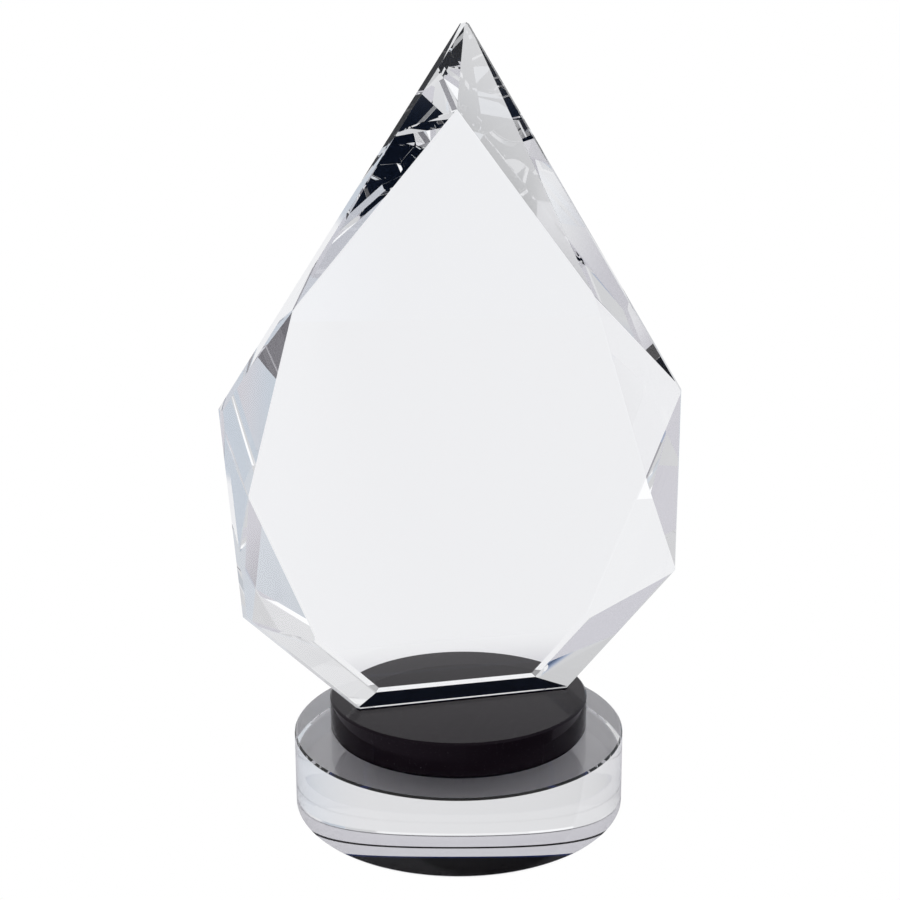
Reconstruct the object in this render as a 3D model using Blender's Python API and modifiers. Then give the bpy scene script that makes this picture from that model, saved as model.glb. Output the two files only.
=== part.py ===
"""Crystal award: a flame-shaped clear crystal plate bonded to a black crystal disc on a clear crystal base.

Metres, +Z up. The origin is on the table, in the middle under the award. The plate's flat front faces -Y and
its ground facets are on its back, towards +Y.
"""

import math

import bmesh
import bpy
from mathutils import Vector

# --- Driving dimensions -------------------------------------------------------------------------------------

BASE_DIAMETER = 0.090
BASE_HEIGHT = 0.0203
BASE_CHAMFER = 0.0005

COLLAR_DIAMETER = 0.0704
COLLAR_HEIGHT = 0.0089
COLLAR_CHAMFER = 0.0005

PLATE_THICKNESS = 0.0175
PLATE_SHIFT = (0.0005, 0.0002)
FRONT_ARRIS_WIDTH = 0.0010
FRONT_ARRIS_DEPTH = 0.00175
BACK_ARRIS = 0.00025
FOOT_FRONT_ARRIS = 0.0006
FOOT_BACK_ARRIS = 0.0010
TIP_BLUNTING = 0.0017

# The outline, from the middle line and up from the foot. TIP_HEIGHT is where the two long edges would meet
# if the tip weren't blunted. The plate is ground by hand, so its two sides differ a little.
TIP_HEIGHT = 0.1743
TIP_SHIFT = 0.00015
SHOULDER_HALF_WIDTH = {"left": 0.0622, "right": 0.0605}
SHOULDER_HEIGHT = {"left": 0.08035, "right": 0.08143}
HIP_HALF_WIDTH = {"left": 0.0583, "right": 0.0603}
HIP_HEIGHT = {"left": 0.0272, "right": 0.0308}
FOOT_HALF_WIDTH = {"left": 0.0300, "right": 0.02925}

# Where the facets meet the flat middle of the back: how far along an outline edge, and how far inside it.
CROWN_DROP = 0.02054
CROWN_SHIFT = 0.00038
BLADE_REACH = {"left": 0.0824, "right": 0.0778}
BLADE_INSET = {"left": 0.00358, "right": 0.00472}
WING_REACH = {"left": 0.0247, "right": 0.0258}
WING_INSET = {"left": 0.00513, "right": 0.0055}
KEEL_REACH = {"left": 0.0228, "right": 0.0278}
KEEL_INSET = {"left": 0.00511, "right": 0.00516}

# Clear adhesive between the glued faces.
GLUE_THICKNESS = 0.0001
GLUE_CLEARANCE = 0.0001
GLUE_MARGIN = 0.0004
COLLAR_GLUE_DIAMETER = 0.0530

ROUND_SEGMENTS = 128
BLANK_SIZE = 1.0
WELD_DISTANCE = 1e-6
CUT_TOLERANCE = 1e-7

# --- Heights that follow from them ---------------------------------------------------------------------------

GLUE_GAP = GLUE_THICKNESS + 2 * GLUE_CLEARANCE
COLLAR_BOTTOM = BASE_HEIGHT + GLUE_GAP
COLLAR_TOP = COLLAR_BOTTOM + COLLAR_HEIGHT
PLATE_BOTTOM = COLLAR_TOP + GLUE_GAP
PLATE_FRONT = PLATE_SHIFT[1] - PLATE_THICKNESS / 2
PLATE_BACK = PLATE_SHIFT[1] + PLATE_THICKNESS / 2
RIM_DEPTH = PLATE_FRONT + FRONT_ARRIS_DEPTH

SIDE_SIGN = {"left": -1, "right": 1}


# --- Scene and materials -------------------------------------------------------------------------------------


def clear_scene():
    for obj in list(bpy.data.objects):
        bpy.data.objects.remove(obj, do_unlink=True)


def new_collection(name):
    collection = bpy.data.collections.new(name)
    bpy.context.scene.collection.children.link(collection)
    return collection


def new_material(name, color, roughness, metallic=0.0):
    material = bpy.data.materials.new(name)
    material.use_nodes = True
    shader = material.node_tree.nodes["Principled BSDF"]
    shader.inputs["Base Color"].default_value = (*color, 1.0)
    shader.inputs["Roughness"].default_value = roughness
    shader.inputs["Metallic"].default_value = metallic
    material.diffuse_color = (*color, 1.0)
    return material


def face_outwards(shape):
    bmesh.ops.recalc_face_normals(shape, faces=shape.faces)
    if shape.calc_volume(signed=True) < 0:
        bmesh.ops.reverse_faces(shape, faces=shape.faces)


def new_object(name, mesh_builder, material, collection):
    """A named object whose mesh the builder fills in."""
    mesh = bpy.data.meshes.new(name)
    shape = bmesh.new()
    mesh_builder(shape)
    face_outwards(shape)
    shape.to_mesh(mesh)
    shape.free()
    mesh.materials.append(material)
    obj = bpy.data.objects.new(name, mesh)
    collection.objects.link(obj)
    return obj


def add_chamfer(obj, width):
    bevel = obj.modifiers.new("chamfer", "BEVEL")
    bevel.width = width
    bevel.segments = 1
    bevel.limit_method = "ANGLE"
    bevel.angle_limit = math.radians(40)
    return bevel


# --- Round pieces --------------------------------------------------------------------------------------------


def disc_builder(diameter, height, bottom):
    """Fills a bmesh with an upright cylinder that stands at the given height."""

    def build(shape):
        made = bmesh.ops.create_cone(
            shape,
            cap_ends=True,
            segments=ROUND_SEGMENTS,
            radius1=diameter / 2,
            radius2=diameter / 2,
            depth=height,
        )
        centre = Vector((0, 0, bottom + height / 2))
        bmesh.ops.translate(shape, verts=made["verts"], vec=centre)

    return build


def make_disc(name, diameter, height, bottom, chamfer, material, collection):
    disc = new_object(name, disc_builder(diameter, height, bottom), material, collection)
    if chamfer:
        add_chamfer(disc, chamfer)
    disc.data.shade_smooth()
    disc.data.set_sharp_from_angle(angle=math.radians(30))
    return disc


# --- The plate's outline and the flat middle of its back, as (x, z) above the plate's foot -------------------


def outline():
    """The outline's corners, by name."""
    middle = PLATE_SHIFT[0]
    corners = {"tip": Vector((middle + TIP_SHIFT, TIP_HEIGHT))}
    for side, sign in SIDE_SIGN.items():
        shoulder = middle + sign * SHOULDER_HALF_WIDTH[side]
        hip = middle + sign * HIP_HALF_WIDTH[side]
        foot = middle + sign * FOOT_HALF_WIDTH[side]
        corners[f"shoulder_{side}"] = Vector((shoulder, SHOULDER_HEIGHT[side]))
        corners[f"hip_{side}"] = Vector((hip, HIP_HEIGHT[side]))
        corners[f"foot_{side}"] = Vector((foot, 0))
    return corners


def inside_edge(start, end, reach, inset, side):
    """The point this far along an outline edge, running downwards, and this far inside it."""
    along = (end - start).normalized()
    inward = Vector((along.y, -along.x)) * SIDE_SIGN[side]
    return start + along * reach + inward * inset


def flat_back(corners):
    """The corners of the flat middle of the back that the facets run up to, by name."""
    found = {"crown": corners["tip"] + Vector((CROWN_SHIFT, -CROWN_DROP))}
    for side in SIDE_SIGN:
        tip, shoulder = corners["tip"], corners[f"shoulder_{side}"]
        hip, foot = corners[f"hip_{side}"], corners[f"foot_{side}"]
        found[f"blade_{side}"] = inside_edge(
            tip, shoulder, BLADE_REACH[side], BLADE_INSET[side], side
        )
        found[f"wing_{side}"] = inside_edge(
            shoulder, hip, WING_REACH[side], WING_INSET[side], side
        )
        found[f"keel_{side}"] = inside_edge(
            hip, foot, KEEL_REACH[side], KEEL_INSET[side], side
        )
    return found


def at_rim(corner):
    return Vector((corner.x, RIM_DEPTH, PLATE_BOTTOM + corner.y))


def at_back(corner):
    return Vector((corner.x, PLATE_BACK, PLATE_BOTTOM + corner.y))


# --- The plate -----------------------------------------------------------------------------------------------


def plate_heart():
    return Vector((PLATE_SHIFT[0], PLATE_SHIFT[1], PLATE_BOTTOM + TIP_HEIGHT / 2))


def plane_through(first, second, third):
    """The plane through three points, as a point and the normal that looks out of the plate."""
    normal = (second - first).cross(third - first).normalized()
    return first, normal if normal.dot(first - plate_heart()) > 0 else -normal


def facet_planes():
    """The ground facets by name and side: each holds a rim edge and a back corner, or the other way round."""
    rim = {name: at_rim(corner) for name, corner in outline().items()}
    flat = {name: at_back(corner) for name, corner in flat_back(outline()).items()}
    planes = {}
    for side in SIDE_SIGN:
        tip, shoulder = rim["tip"], rim[f"shoulder_{side}"]
        hip, foot = rim[f"hip_{side}"], rim[f"foot_{side}"]
        crown, blade = flat["crown"], flat[f"blade_{side}"]
        wing, keel = flat[f"wing_{side}"], flat[f"keel_{side}"]
        planes["crown", side] = plane_through(tip, crown, blade)
        planes["blade", side] = plane_through(tip, shoulder, blade)
        planes["shoulder", side] = plane_through(shoulder, blade, wing)
        planes["wing", side] = plane_through(shoulder, hip, wing)
        planes["hip", side] = plane_through(hip, wing, keel)
        planes["keel", side] = plane_through(hip, foot, keel)
    return planes


def front_arris_planes():
    """The polished arris round the front face, one plane along each edge of the outline, and a finer one below."""
    corners = outline()
    chain = ["foot_left", "hip_left", "shoulder_left", "tip", "shoulder_right", "hip_right", "foot_right"]
    foot_edge = Vector((0, PLATE_FRONT + FOOT_FRONT_ARRIS, PLATE_BOTTOM))
    planes = [(foot_edge, Vector((0, -1, -1)).normalized())]
    for name, following in zip(chain, chain[1:]):
        along = (corners[following] - corners[name]).normalized()
        outward = Vector((-along.y, 0, along.x))
        normal = outward * FRONT_ARRIS_DEPTH - Vector((0, FRONT_ARRIS_WIDTH, 0))
        planes.append((at_rim(corners[name]), normal.normalized()))
    return planes


def back_arris_planes():
    """The arrises round the flat middle of the back: fine above, and wider along the keels and the foot."""
    facets, flat = facet_planes(), flat_back(outline())
    back = Vector((0, 1, 0))
    edges = [(at_back(Vector((0, 0))), Vector((0, 0, -1)), FOOT_BACK_ARRIS)]
    for side in SIDE_SIGN:
        edges.append((at_back(flat["crown"]), facets["crown", side][1], BACK_ARRIS))
        edges.append((at_back(flat[f"blade_{side}"]), facets["shoulder", side][1], BACK_ARRIS))
        edges.append((at_back(flat[f"wing_{side}"]), facets["hip", side][1], BACK_ARRIS))
        edges.append((at_back(flat[f"keel_{side}"]), facets["keel", side][1], FOOT_BACK_ARRIS))
    planes = []
    for corner, facet, width in edges:
        normal = (back + facet).normalized()
        planes.append((corner - normal * width * math.sin(back.angle(facet) / 2), normal))
    return planes


def grind(shape, point, normal):
    """Takes away what lies beyond a plane, and closes the cut with one flat face."""
    geometry = list(shape.verts) + list(shape.edges) + list(shape.faces)
    cut = bmesh.ops.bisect_plane(
        shape, geom=geometry, dist=CUT_TOLERANCE, plane_co=point, plane_no=normal, clear_outer=True
    )
    rim = [item for item in cut["geom_cut"] if isinstance(item, bmesh.types.BMEdge)]
    open_rim = [edge for edge in rim if edge.is_boundary]
    if open_rim:
        bmesh.ops.edgeloop_fill(shape, edges=open_rim)


def build_plate(shape):
    """A block as thick as the plate, ground to its foot, its blunt tip, its facets and then its arrises."""
    made = bmesh.ops.create_cube(shape, size=BLANK_SIZE)
    bmesh.ops.scale(shape, verts=made["verts"], vec=(1, PLATE_THICKNESS / BLANK_SIZE, 1))
    bmesh.ops.translate(shape, verts=made["verts"], vec=plate_heart())
    grind(shape, Vector((0, 0, PLATE_BOTTOM)), Vector((0, 0, -1)))
    grind(shape, Vector((0, 0, PLATE_BOTTOM + TIP_HEIGHT - TIP_BLUNTING)), Vector((0, 0, 1)))
    for point, normal in [*facet_planes().values(), *front_arris_planes(), *back_arris_planes()]:
        grind(shape, point, normal)
    bmesh.ops.remove_doubles(shape, verts=shape.verts, dist=WELD_DISTANCE)


def foot_corners():
    """The corners of the plate's flat foot, drawn in by the glue's margin."""
    shape = bmesh.new()
    build_plate(shape)
    foot = min(shape.faces, key=lambda face: face.calc_center_median().z)
    bmesh.ops.inset_individual(shape, faces=[foot], thickness=GLUE_MARGIN, use_even_offset=True)
    corners = [(vert.co.x, vert.co.y) for vert in foot.verts]
    shape.free()
    return corners


def build_plate_glue(shape):
    bottom = COLLAR_TOP + GLUE_CLEARANCE
    corners = [shape.verts.new((x, y, bottom)) for x, y in foot_corners()]
    face = shape.faces.new(corners)
    raised = bmesh.ops.extrude_face_region(shape, geom=[face])
    top = [item for item in raised["geom"] if isinstance(item, bmesh.types.BMVert)]
    bmesh.ops.translate(shape, verts=top, vec=(0, 0, GLUE_THICKNESS))


# --- The award -----------------------------------------------------------------------------------------------


def main():
    clear_scene()
    award = new_collection("crystal_award")
    clear_crystal = new_material("clear_crystal", (0.93, 0.94, 0.95), 0.02)
    black_crystal = new_material("black_crystal", (0.012, 0.011, 0.013), 0.03)
    clear_glue = new_material("clear_glue", (0.80, 0.80, 0.78), 0.20)

    make_disc("clear_base", BASE_DIAMETER, BASE_HEIGHT, 0, BASE_CHAMFER, clear_crystal, award)
    make_disc(
        "collar_glue",
        COLLAR_GLUE_DIAMETER,
        GLUE_THICKNESS,
        BASE_HEIGHT + GLUE_CLEARANCE,
        0,
        clear_glue,
        award,
    )
    make_disc(
        "black_collar",
        COLLAR_DIAMETER,
        COLLAR_HEIGHT,
        COLLAR_BOTTOM,
        COLLAR_CHAMFER,
        black_crystal,
        award,
    )
    new_object("plate_glue", build_plate_glue, clear_glue, award)
    new_object("flame_plate", build_plate, clear_crystal, award)


main()
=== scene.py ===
# %% [markdown]
# # A crystal award, looked at through its own glass
# The award is a flame-shaped plate of clear optical crystal, glued upright on a black crystal disc, which is
# glued on a wider clear disc. Almost nothing here is painted. What the eye reads as grey, white and black
# facets is the room and the award's own black foot, bent and mirrored inside the crystal. So the lesson is
# about clean closed solids, a believable soft room, and glass that is allowed enough bounces.

import math

import bmesh
import bpy
from mathutils import Matrix, Vector


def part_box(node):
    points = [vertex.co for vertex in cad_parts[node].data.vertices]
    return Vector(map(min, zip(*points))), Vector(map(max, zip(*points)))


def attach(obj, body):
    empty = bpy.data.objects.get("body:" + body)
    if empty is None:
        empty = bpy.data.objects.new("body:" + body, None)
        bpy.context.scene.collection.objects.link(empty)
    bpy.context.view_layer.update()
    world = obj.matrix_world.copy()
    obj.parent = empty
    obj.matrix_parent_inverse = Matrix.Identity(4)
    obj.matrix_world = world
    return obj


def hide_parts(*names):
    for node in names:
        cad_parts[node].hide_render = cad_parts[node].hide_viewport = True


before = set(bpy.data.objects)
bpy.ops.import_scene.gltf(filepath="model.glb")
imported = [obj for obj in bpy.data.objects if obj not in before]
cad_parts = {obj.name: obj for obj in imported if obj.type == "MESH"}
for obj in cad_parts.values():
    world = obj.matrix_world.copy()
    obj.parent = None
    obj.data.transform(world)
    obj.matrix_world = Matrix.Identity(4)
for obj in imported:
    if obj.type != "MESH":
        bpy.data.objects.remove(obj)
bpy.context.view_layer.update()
MM = 0.001
print("nodes:", ", ".join(sorted(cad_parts)))


# %% [markdown]
# ## Node trees as expressions
# A material is easier to read as arithmetic than as a list of links. A small class wraps a socket, so that an
# expression such as `1 - mask * 0.5` adds the Math nodes for us. Everything that isn't arithmetic comes from one
# method that takes the node's type, its settings and the values or links of its inputs.


# %% A socket that can be added and multiplied
class Wire:
    """A shader output that takes part in sums and products."""

    def __init__(self, tree, socket):
        self.tree = tree
        self.socket = socket

    def add(self, kind, settings=None, inputs=None, output=0):
        node = self.tree.nodes.new(kind)
        for name, value in (settings or {}).items():
            setattr(node, name, value)
        for name, value in (inputs or {}).items():
            socket = node.inputs[name]
            if isinstance(value, Wire):
                self.tree.links.new(value.socket, socket)
            else:
                socket.default_value = value
        return Wire(self.tree, node.outputs[output])

    def math(self, operation, first, second=0.0):
        return self.add("ShaderNodeMath", {"operation": operation}, {0: first, 1: second})

    def __add__(self, other):
        return self.math("ADD", self, other)

    def __radd__(self, other):
        return self.math("ADD", other, self)

    def __sub__(self, other):
        return self.math("SUBTRACT", self, other)

    def __rsub__(self, other):
        return self.math("SUBTRACT", other, self)

    def __mul__(self, other):
        return self.math("MULTIPLY", self, other)

    def __rmul__(self, other):
        return self.math("MULTIPLY", other, self)

    def step(self, low, high):
        """0 below low, 1 above high, and smooth in between."""
        settings = {"interpolation_type": "SMOOTHSTEP"}
        return self.add("ShaderNodeMapRange", settings, {"Value": self, "From Min": low, "From Max": high})

    def mix(self, first, second):
        """The first colour where this is 0, and the second where it is 1. Sockets 6 and 7 are the colour ones."""
        inputs = {"Factor": self, 6: first, 7: second}
        return self.add("ShaderNodeMix", {"data_type": "RGBA"}, inputs, output=2)


def start_tree(owner):
    """An emptied node tree and a wire to build it with."""
    owner.use_nodes = True
    owner.node_tree.nodes.clear()
    return Wire(owner.node_tree, None)


def end_tree(wire, kind, shader):
    out = wire.tree.nodes.new(kind)
    wire.tree.links.new(shader.socket, out.inputs["Surface"])


def grain(wire, scale, detail=2.0, roughness=0.5, distortion=0.0):
    """Noise on the piece's own coordinates, with scale in features per metre."""
    place = wire.add("ShaderNodeTexCoord", output="Object")
    inputs = {"Vector": place, "Scale": scale, "Detail": detail, "Roughness": roughness, "Distortion": distortion}
    return wire.add("ShaderNodeTexNoise", {}, inputs)


print("node helpers ready")


# %% [markdown]
# ## Clear crystal
# Optical crystal is glass with a refractive index of about 1.5, and it has no colour of its own. A Glass shader
# would do, but the Principled shader with full transmission bends and mirrors light just as well, as long as the
# solid is closed, and other programs understand it too. Hand polishing leaves each face very slightly wavy, which
# only shows as soft swirls where light has bounced many times, so the wave is a faint bump and not a change of
# shape.

# %% The clear crystal material
CRYSTAL_INDEX = 1.4975
POLISH_WAVES = 26.0


def clear_crystal():
    material = bpy.data.materials.new("clear_crystal")
    wire = start_tree(material)
    wave = grain(wire, POLISH_WAVES, detail=1.0)
    bump = wire.add("ShaderNodeBump", {}, {"Height": wave, "Strength": 0.02, "Distance": 0.1 * MM})
    inputs = {
        "Base Color": (1.0, 1.0, 1.0, 1.0),
        "Roughness": 0.0,
        "IOR": CRYSTAL_INDEX,
        "Transmission Weight": 1.0,
        "Normal": bump,
    }
    shader = wire.add("ShaderNodeBsdfPrincipled", {}, inputs)
    end_tree(wire, "ShaderNodeOutputMaterial", shader)
    return material


crystal = clear_crystal()
print("crystal index", CRYSTAL_INDEX)

# %% [markdown]
# ## Black crystal
# The dark disc is black glass, so its colour is almost nothing and its look is all polish: a mirror that grows
# stronger at a low angle. Black glass could be clear glass with a deep absorption, but an opaque shader says the
# same with far less work. A little dust and a faint haze break the mirror up, as on any polished stone that
# stands on a shelf, and the mirror's faint tint gives the black its slightly violet cast.

# %% The black crystal material
HAZE_PATCHES = 60.0
DUST_SPECKS = 4200.0
INKY_BLACK = (0.006, 0.0035, 0.006, 1.0)
DUST_GREY = (0.10, 0.095, 0.10, 1.0)


def black_crystal():
    material = bpy.data.materials.new("black_crystal")
    wire = start_tree(material)
    haze = grain(wire, HAZE_PATCHES, detail=3.0)
    dust = grain(wire, DUST_SPECKS, detail=1.0).step(0.72, 0.77)
    inputs = {
        "Base Color": dust.mix(INKY_BLACK, DUST_GREY),
        "Roughness": 0.015 + haze * 0.03 + dust * 0.4,
        "Specular IOR Level": 0.115,
        "Specular Tint": (1.0, 0.84, 1.0, 1.0),
    }
    shader = wire.add("ShaderNodeBsdfPrincipled", {}, inputs)
    end_tree(wire, "ShaderNodeOutputMaterial", shader)
    return material


black = black_crystal()
print("black crystal with", round(DUST_SPECKS * MM, 1), "specks of dust to the millimetre at most")

# %% [markdown]
# ## The glued faces
# The adhesive is clear and wets both faces, so light in the crystal meets no air there: it goes straight into
# the black disc and is lost. That is why the plate's foot is black from every side. Two solids with a gap
# between them would mirror instead. So each film is drawn as thick as the gap plus a hair into both pieces,
# and it takes the look of what lies behind clear adhesive, which is a navy black with no mirror of its own.
# Crystal also bends blue light a little more than red, which puts a blue fringe along the edge of a black patch.
# The shader bends every colour alike, so a blue rim painted on the round film stands in for that.

# %% The films' materials
FILM_PATCHES = 140.0
FRINGE_WIDTH = 1.6 * MM
FRINGE_BLUE = (0.03, 0.07, 0.36, 1.0)


def from_axis(wire):
    """How far a point is from the award's upright axis."""
    place = wire.add("ShaderNodeTexCoord", output="Object")
    flat = wire.add("ShaderNodeVectorMath", {"operation": "MULTIPLY"}, {0: place, 1: (1.0, 1.0, 0.0)})
    return wire.add("ShaderNodeVectorMath", {"operation": "LENGTH"}, {0: flat}, "Value")


def film_over_black(name, darkest, palest, rim=None):
    material = bpy.data.materials.new(name)
    wire = start_tree(material)
    colour = grain(wire, FILM_PATCHES, detail=2.0).mix((*darkest, 1.0), (*palest, 1.0))
    if rim:
        out = from_axis(wire)
        past_rim = out.step(rim + FRINGE_WIDTH, rim + 2 * FRINGE_WIDTH)
        fringe = out.step(rim - FRINGE_WIDTH, rim) * (1 - past_rim)
        colour = fringe.mix(colour, FRINGE_BLUE)
    inputs = {"Base Color": colour, "Roughness": 1.0, "Specular IOR Level": 0.0}
    shader = wire.add("ShaderNodeBsdfPrincipled", {}, inputs)
    end_tree(wire, "ShaderNodeOutputMaterial", shader)
    return material


plate_glue = film_over_black("film_under_plate", (0.004, 0.007, 0.017), (0.009, 0.013, 0.026))
film_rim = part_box("collar_glue")[1].x
collar_glue = film_over_black("film_under_collar", (0.003, 0.002, 0.004), (0.006, 0.005, 0.007), film_rim)
print("blue fringe at radius", round(film_rim / MM, 1), "mm")

# %% [markdown]
# ## Finishing a piece
# Every new piece is shaped by a small function that hands back a bmesh, and is then finished the same way: a
# mesh is made of it, its material and sharp edges are set, it is tied to the body that it rides on, and the plain
# solid that it stands for is hidden. A piece that starts from a solid takes a copy of that solid's surface.


# %% Turn a bmesh into a finished piece
def finish_piece(name, shape, material, node, smooth_below=None):
    mesh = bpy.data.meshes.new(name)
    shape.to_mesh(mesh)
    shape.free()
    mesh.materials.append(material)
    if smooth_below:
        mesh.shade_smooth()
        mesh.set_sharp_from_angle(angle=math.radians(smooth_below))
    piece = bpy.data.objects.new(name, mesh)
    bpy.context.scene.collection.objects.link(piece)
    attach(piece, "root")
    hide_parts(node)
    print(name, len(mesh.polygons), "faces")
    return piece


def cad_copy(node):
    """The solid's own surface as a bmesh, its loose triangles merged into whole flat faces."""
    shape = bmesh.new()
    shape.from_mesh(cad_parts[node].data)
    bmesh.ops.remove_doubles(shape, verts=shape.verts, dist=0.002 * MM)
    flat_enough = math.radians(0.3)
    bmesh.ops.dissolve_limit(shape, angle_limit=flat_enough, verts=shape.verts, edges=shape.edges)
    return shape


print("the plate's solid has", len(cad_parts["flame_plate"].data.polygons), "triangles")


# %% [markdown]
# ## The flame plate
# The plate is sawn from a slab, its front is polished flat, and pairs of facets are ground on its back around a
# flat middle. The facets must stay dead flat, because each one mirrors another, so the piece starts from the
# solid's own faces and no subdivision touches it. What a real plate has beyond them is a hair of wear along each
# edge between two facets, which catches light as a fine line. One narrow bevel on every real edge gives that.

# %% Build the plate
HAIRLINE = 0.07 * MM
REAL_EDGE = math.radians(4)


def build_plate():
    shape = cad_copy("flame_plate")
    ridges = [edge for edge in shape.edges if edge.calc_face_angle(0.0) > REAL_EDGE]
    bmesh.ops.bevel(
        shape,
        geom=ridges,
        offset=HAIRLINE,
        offset_type="OFFSET",
        affect="EDGES",
        segments=1,
        profile=0.5,
        material=-1,
        clamp_overlap=True,
    )
    return shape


plate = finish_piece("clear_flame_plate", build_plate(), crystal, "flame_plate")

# %% [markdown]
# ## The two discs
# Both discs are turned, so each is one profile spun round the axis. A cylinder with a bevel would do as well, but
# a profile lets the flat faces, the straight wall and the two small polished chamfers be drawn in one go. The
# wall needs many steps, because glass shows every flat in its reflections.

# %% Spin a disc
DISC_STEPS = 360
CHAMFER = 0.5 * MM
SMOOTH_BELOW = 30


def spin_round(shape, points, closed=False):
    """Draw a profile, given as radius and height, and spin it once round the upright axis."""
    corners = [shape.verts.new((x, 0, z)) for x, z in points]
    after = corners[1:] + corners[:1] if closed else corners[1:]
    profile = [shape.edges.new(pair) for pair in zip(corners, after)]
    bmesh.ops.spin(
        shape,
        geom=corners + profile,
        axis=(0, 0, 1),
        cent=(0, 0, 0),
        angle=math.tau,
        steps=DISC_STEPS,
        use_merge=True,
    )


def build_disc(node):
    low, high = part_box(node)
    radius = (high.x - low.x) / 2
    points = [(0, low.z), (radius - CHAMFER, low.z), (radius, low.z + CHAMFER)]
    points += [(radius, high.z - CHAMFER), (radius - CHAMFER, high.z), (0, high.z)]
    shape = bmesh.new()
    spin_round(shape, points)
    bmesh.ops.remove_doubles(shape, verts=shape.verts, dist=0.001 * MM)
    bmesh.ops.recalc_face_normals(shape, faces=shape.faces)
    if shape.calc_volume(signed=True) < 0:
        bmesh.ops.reverse_faces(shape, faces=shape.faces)
    return shape


base = finish_piece("clear_base_disc", build_disc("clear_base"), crystal, "clear_base", SMOOTH_BELOW)
collar = finish_piece("black_collar_disc", build_disc("black_collar"), black, "black_collar", SMOOTH_BELOW)

# %% [markdown]
# ## The film under the plate
# Each film fills its gap from face to face. The upper one follows the plate's foot, so it is the solid's own film
# made thicker: its upper points go up to just inside the plate, and its lower points go down to just inside the
# disc. It is also spread a little sideways, as adhesive is when two faces are pressed together.

# %% Thicken a film
BITE = 0.02 * MM
PLATE_SPREAD = 0.3 * MM
COLLAR_SPREAD = 0.1 * MM


def build_film(node, below, above, spread):
    shape = cad_copy(node)
    low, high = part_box(node)
    floor_level, roof_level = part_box(below)[1].z - BITE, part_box(above)[0].z + BITE
    centre, size = (low + high) / 2, high - low
    for vert in shape.verts:
        vert.co.x = centre.x + (vert.co.x - centre.x) * (1 + 2 * spread / size.x)
        vert.co.y = centre.y + (vert.co.y - centre.y) * (1 + 2 * spread / size.y)
        vert.co.z = roof_level if vert.co.z > centre.z else floor_level
    return shape


upper = build_film("plate_glue", "black_collar", "flame_plate", PLATE_SPREAD)
plate_film = finish_piece("plate_film", upper, plate_glue, "plate_glue")

# %% [markdown]
# ## The film under the black disc
# The lower film is a thin disc well inside the black disc's edge: past it there is air, and the clear base mirrors
# there. That is why the black patch at the foot of the base is smaller than the disc. A little adhesive has also
# been drawn in round the disc's edge, and it is seen through the side of the base as one dark line. It is a
# square ring, spun from a closed profile into the same mesh.

# %% Build the lower film with its ring
BEAD = 1.3 * MM


def add_bead(shape, radius, floor_level, roof_level):
    inner = radius - BEAD
    points = [(inner, floor_level), (radius, floor_level), (radius, roof_level), (inner, roof_level)]
    spin_round(shape, points, closed=True)
    bmesh.ops.recalc_face_normals(shape, faces=shape.faces)


lower = build_film("collar_glue", "clear_base", "black_collar", COLLAR_SPREAD)
disc_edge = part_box("black_collar")[1].x - CHAMFER
add_bead(lower, disc_edge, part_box("clear_base")[1].z - BITE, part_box("black_collar")[0].z + BITE)
collar_film = finish_piece("collar_film", lower, collar_glue, "collar_glue")

# %% [markdown]
# ## The room
# The award stands in a soft white tent on a white table, and glass shows whatever is around it, so the room is
# most of the picture. Lamps and panels could be modelled, but a world whose strength follows the direction does
# the same without noise. Everything in it is a soft-edged sum: a grey tent, a brighter backdrop behind the award
# with one brighter strip, a lighter roof with a darker middle, and a few round patches to the sides. The person
# at the camera stands dark in front, and that is what the crown's black facets mirror.

# %% Helpers for directions and places
CAMERA_PLACE = (-0.0674, -0.2681, 0.1424)


def direct(wire):
    """1 where the camera looks straight at something, and 0 where it is seen through or in the glass."""
    return wire.add("ShaderNodeLightPath", output="Is Camera Ray")


def part_of(wire, vector, axis):
    return wire.add("ShaderNodeSeparateXYZ", {}, {0: vector}, axis)


def around(wire, towards, turn, height, inner, outer):
    """1 inside a round patch of the room, given by its compass turn from the back and its height in degrees."""
    turn, height = math.radians(turn), math.radians(height)
    aim = (math.sin(turn) * math.cos(height), math.cos(turn) * math.cos(height), math.sin(height))
    near = wire.add("ShaderNodeVectorMath", {"operation": "DOT_PRODUCT"}, {0: towards, 1: aim}, "Value")
    return near.step(math.cos(math.radians(outer)), math.cos(math.radians(inner)))


def wedge(right, away, least, most, blur):
    """1 between two lines that fan out from a point, each given by how far it runs sideways as it runs away."""
    return (right - away * least).step(-blur, blur) * (away * most - right).step(-blur, blur)


print("the camera stands", round(Vector(CAMERA_PLACE).length / MM), "mm from the award's foot")

# %% The light tent
TENT_GREY = 0.655
BACKDROP_ABOVE = 0.931
BACKDROP_EDGE = 1.04
OVERHEAD = 0.77
ROOF_SHADE = 0.16
PERSON_SHADE = 0.88
TENT_WHITE = (0.994, 1.0, 1.018, 1.0)
WINDOW_COOL = (0.93, 0.99, 1.07, 1.0)
PERSON_NAVY = (0.55, 0.85, 1.55, 1.0)
PLAIN_WHITE = (1.0, 1.0, 1.0, 1.0)
BACKDROP_FAN, PERSON_FAN = (-0.21, 0.58), (0.12, 0.55)
ROOF_BEGINS, ROOF_MIDDLE, HEAD_HEIGHT = (0.26, 0.44), (0.56, 0.68), (0.12, 0.19)
WINDOW_SIDE = (0.5, 1.0)
PATCHES = (
    # turn, height, inner and outer radius in degrees, and how much light it adds
    (-118, 8, 14, 24, 0.40),
    (126, -4, 10, 18, -0.12),
    (140, 40, 14, 26, 0.14),
)


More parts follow.
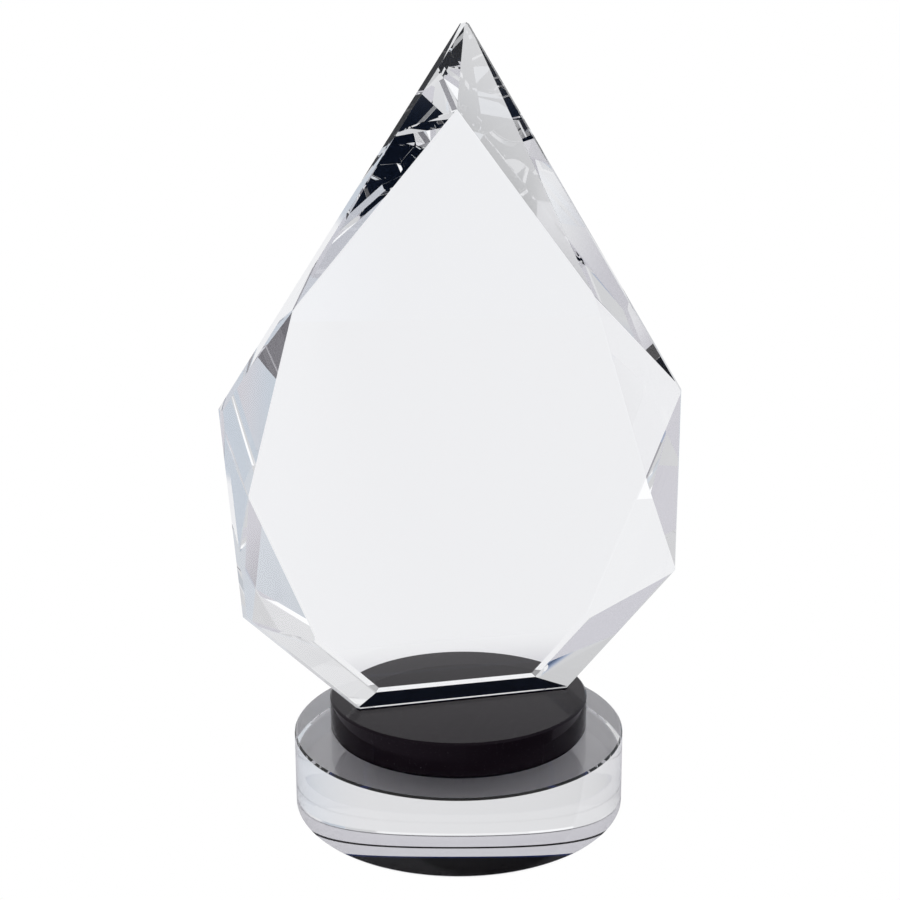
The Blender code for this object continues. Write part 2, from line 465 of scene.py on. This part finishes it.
def tent_strength(wire, towards, right, back, up):
    inside = wedge(right, back, *BACKDROP_FAN, 0.01) * back.step(0.0, 0.05)
    strip = (back * 0.015 - right).step(-0.01, 0.01)
    strength = inside * (BACKDROP_ABOVE - TENT_GREY) + TENT_GREY
    strength = strength + inside * strip * (BACKDROP_EDGE - BACKDROP_ABOVE)
    overhead = up.step(*ROOF_BEGINS)
    strength = strength * (1 - overhead) + overhead * OVERHEAD - up.step(*ROOF_MIDDLE) * ROOF_SHADE
    for *spot, light in PATCHES:
        strength = strength + around(wire, towards, *spot) * light
    return strength


def light_tent():
    world = bpy.data.worlds.new("light_tent")
    bpy.context.scene.world = world
    wire = start_tree(world)
    towards = wire.add("ShaderNodeTexCoord", output="Generated")
    right, back, up = (part_of(wire, towards, axis) for axis in "XYZ")
    person = wedge(right, back * -1.0, *PERSON_FAN, 0.08) * (1 - up.step(*HEAD_HEIGHT))
    tint = person.mix(right.step(*WINDOW_SIDE).mix(TENT_WHITE, WINDOW_COOL), PERSON_NAVY)
    strength = tent_strength(wire, towards, right, back, up) * (1 - person * PERSON_SHADE)
    look = direct(wire)
    strength = strength * (1 - look) + look
    inputs = {"Color": look.mix(tint, PLAIN_WHITE), "Strength": strength}
    end_tree(wire, "ShaderNodeOutputWorld", wire.add("ShaderNodeBackground", {}, inputs))


light_tent()
print("tent", TENT_GREY, "backdrop", BACKDROP_ABOVE, "patches", len(PATCHES))

# %% [markdown]
# ## The table
# The table is an ordinary white surface, so that the light and the shade under the clear base are real, and it
# reads as plain white where it is looked at directly. Two parts of it are drawn. Behind the award the backdrop
# runs down onto the table, so a glowing fan opens away from the camera, a step dimmer on its left side: through
# the plate, the table and the backdrop then look like one sheet. In front, the person's shade fans out towards
# the camera, darkest close to the base.

# %% The table's material
BACKDROP = 0.905
DIMMER_SIDE = 0.80
TABLE_WARM = (0.93, 0.91, 0.955, 1.0)
# TABLE_COOL is painted cool light on the table's right side, matching the tent's cooler right side
TABLE_COOL = (0.83, 0.90, 0.98, 1.0)
TABLE_SHADE = (0.24, 0.23, 0.25, 1.0)
GLOW_FAN, GLOW_BEGINS = (-0.55, 0.58), (0.07, 0.125)
SHADE_BEGINS, SHADE_EASES = (0.0445, 0.0475), (0.09, 0.13)


def table_colour(right, back, aside, beyond):
    # Painted cool light: the table's colour turns cool towards its right side, where the tent's light is cooler
    painted_cool_light = (right - back * 0.4).step(0.06, 0.2) * back.step(-0.12, -0.04)
    colour = painted_cool_light.mix(TABLE_WARM, TABLE_COOL)
    forward, mirrored = back * -1.0, 2 * -CAMERA_PLACE[1] - beyond
    depth = forward.step(*SHADE_BEGINS) - forward.step(*SHADE_EASES) * 0.4
    shade = wedge(aside, mirrored, *PERSON_FAN, 0.06) * depth
    return shade.mix(colour, TABLE_SHADE)


def white_table():
    material = bpy.data.materials.new("white_table")
    wire = start_tree(material)
    place = wire.add("ShaderNodeTexCoord", output="Object")
    right, back = part_of(wire, place, "X"), part_of(wire, place, "Y")
    aside, beyond = right - CAMERA_PLACE[0], back - CAMERA_PLACE[1]
    fan = wedge(aside, beyond, *GLOW_FAN, 0.01) * back.step(*GLOW_BEGINS)
    dimmer = 1 - (aside + beyond * 0.02).step(-0.01, 0.01)
    colour = table_colour(right, back, aside, beyond)
    plain = wire.add("ShaderNodeBsdfDiffuse", {}, {"Color": colour})
    light = BACKDROP - dimmer * (BACKDROP - DIMMER_SIDE)
    glow = wire.add("ShaderNodeEmission", {}, {"Color": TENT_WHITE, "Strength": light})
    table = wire.add("ShaderNodeMixShader", {}, {0: fan, 1: plain, 2: glow})
    white = wire.add("ShaderNodeEmission", {}, {"Color": PLAIN_WHITE, "Strength": 1.0})
    shader = wire.add("ShaderNodeMixShader", {}, {0: direct(wire), 1: table, 2: white})
    end_tree(wire, "ShaderNodeOutputMaterial", shader)
    return material


tabletop = white_table()
print("table glow", BACKDROP, "and", DIMMER_SIDE)

# %% Lay the table
TABLE_SIZE = 6.0
TABLE_GAP = 0.2 * MM


def make_table():
    shape = bmesh.new()
    bmesh.ops.create_grid(shape, x_segments=1, y_segments=1, size=TABLE_SIZE / 2)
    bmesh.ops.translate(shape, verts=shape.verts, vec=(0, 0, -TABLE_GAP))
    mesh = bpy.data.meshes.new("table")
    shape.to_mesh(mesh)
    shape.free()
    mesh.materials.append(tabletop)
    table = bpy.data.objects.new("table", mesh)
    bpy.context.scene.collection.objects.link(table)


make_table()
print("table", TABLE_SIZE, "m across")

# %% [markdown]
# ## The camera
# The camera stands a little to the left and above the middle of the award, close enough that the discs are seen
# from above. A target to look at would be quicker, but a place and three plain angles can each be changed alone,
# as on a tripod head.

# %% Place the camera
TURN_RIGHT = 13.72
LOOK_DOWN = 9.49
ROLL = -0.33
LENS = 42.16
SENSOR = 36.0


def place_camera():
    data = bpy.data.cameras.new("camera")
    data.lens = LENS
    data.sensor_width = SENSOR
    data.clip_start = 0.01
    camera = bpy.data.objects.new("camera", data)
    bpy.context.scene.collection.objects.link(camera)
    turn = Matrix.Rotation(math.radians(-TURN_RIGHT), 4, "Z")
    tilt = Matrix.Rotation(math.radians(90 - LOOK_DOWN), 4, "X")
    roll = Matrix.Rotation(math.radians(ROLL), 4, "Z")
    camera.matrix_world = Matrix.Translation(CAMERA_PLACE) @ turn @ tilt @ roll
    bpy.context.scene.camera = camera


place_camera()
print("camera lens", LENS, "mm")

# %% [markdown]
# ## Letting the light through
# Light may cross the plate ten or twenty times before it leaves, so the default number of bounces would turn
# facets black. The picture is shown with plain display colours, because the white tent should stay white.

# %% Bounces and display
GLASS_BOUNCES = 40
scene = bpy.context.scene
scene.cycles.max_bounces = GLASS_BOUNCES
scene.cycles.transmission_bounces = GLASS_BOUNCES
scene.cycles.glossy_bounces = GLASS_BOUNCES
scene.cycles.diffuse_bounces = 4
scene.cycles.use_denoising = True
scene.view_settings.view_transform = "Standard"
scene.view_settings.look = "None"
print("bounces", scene.cycles.max_bounces)
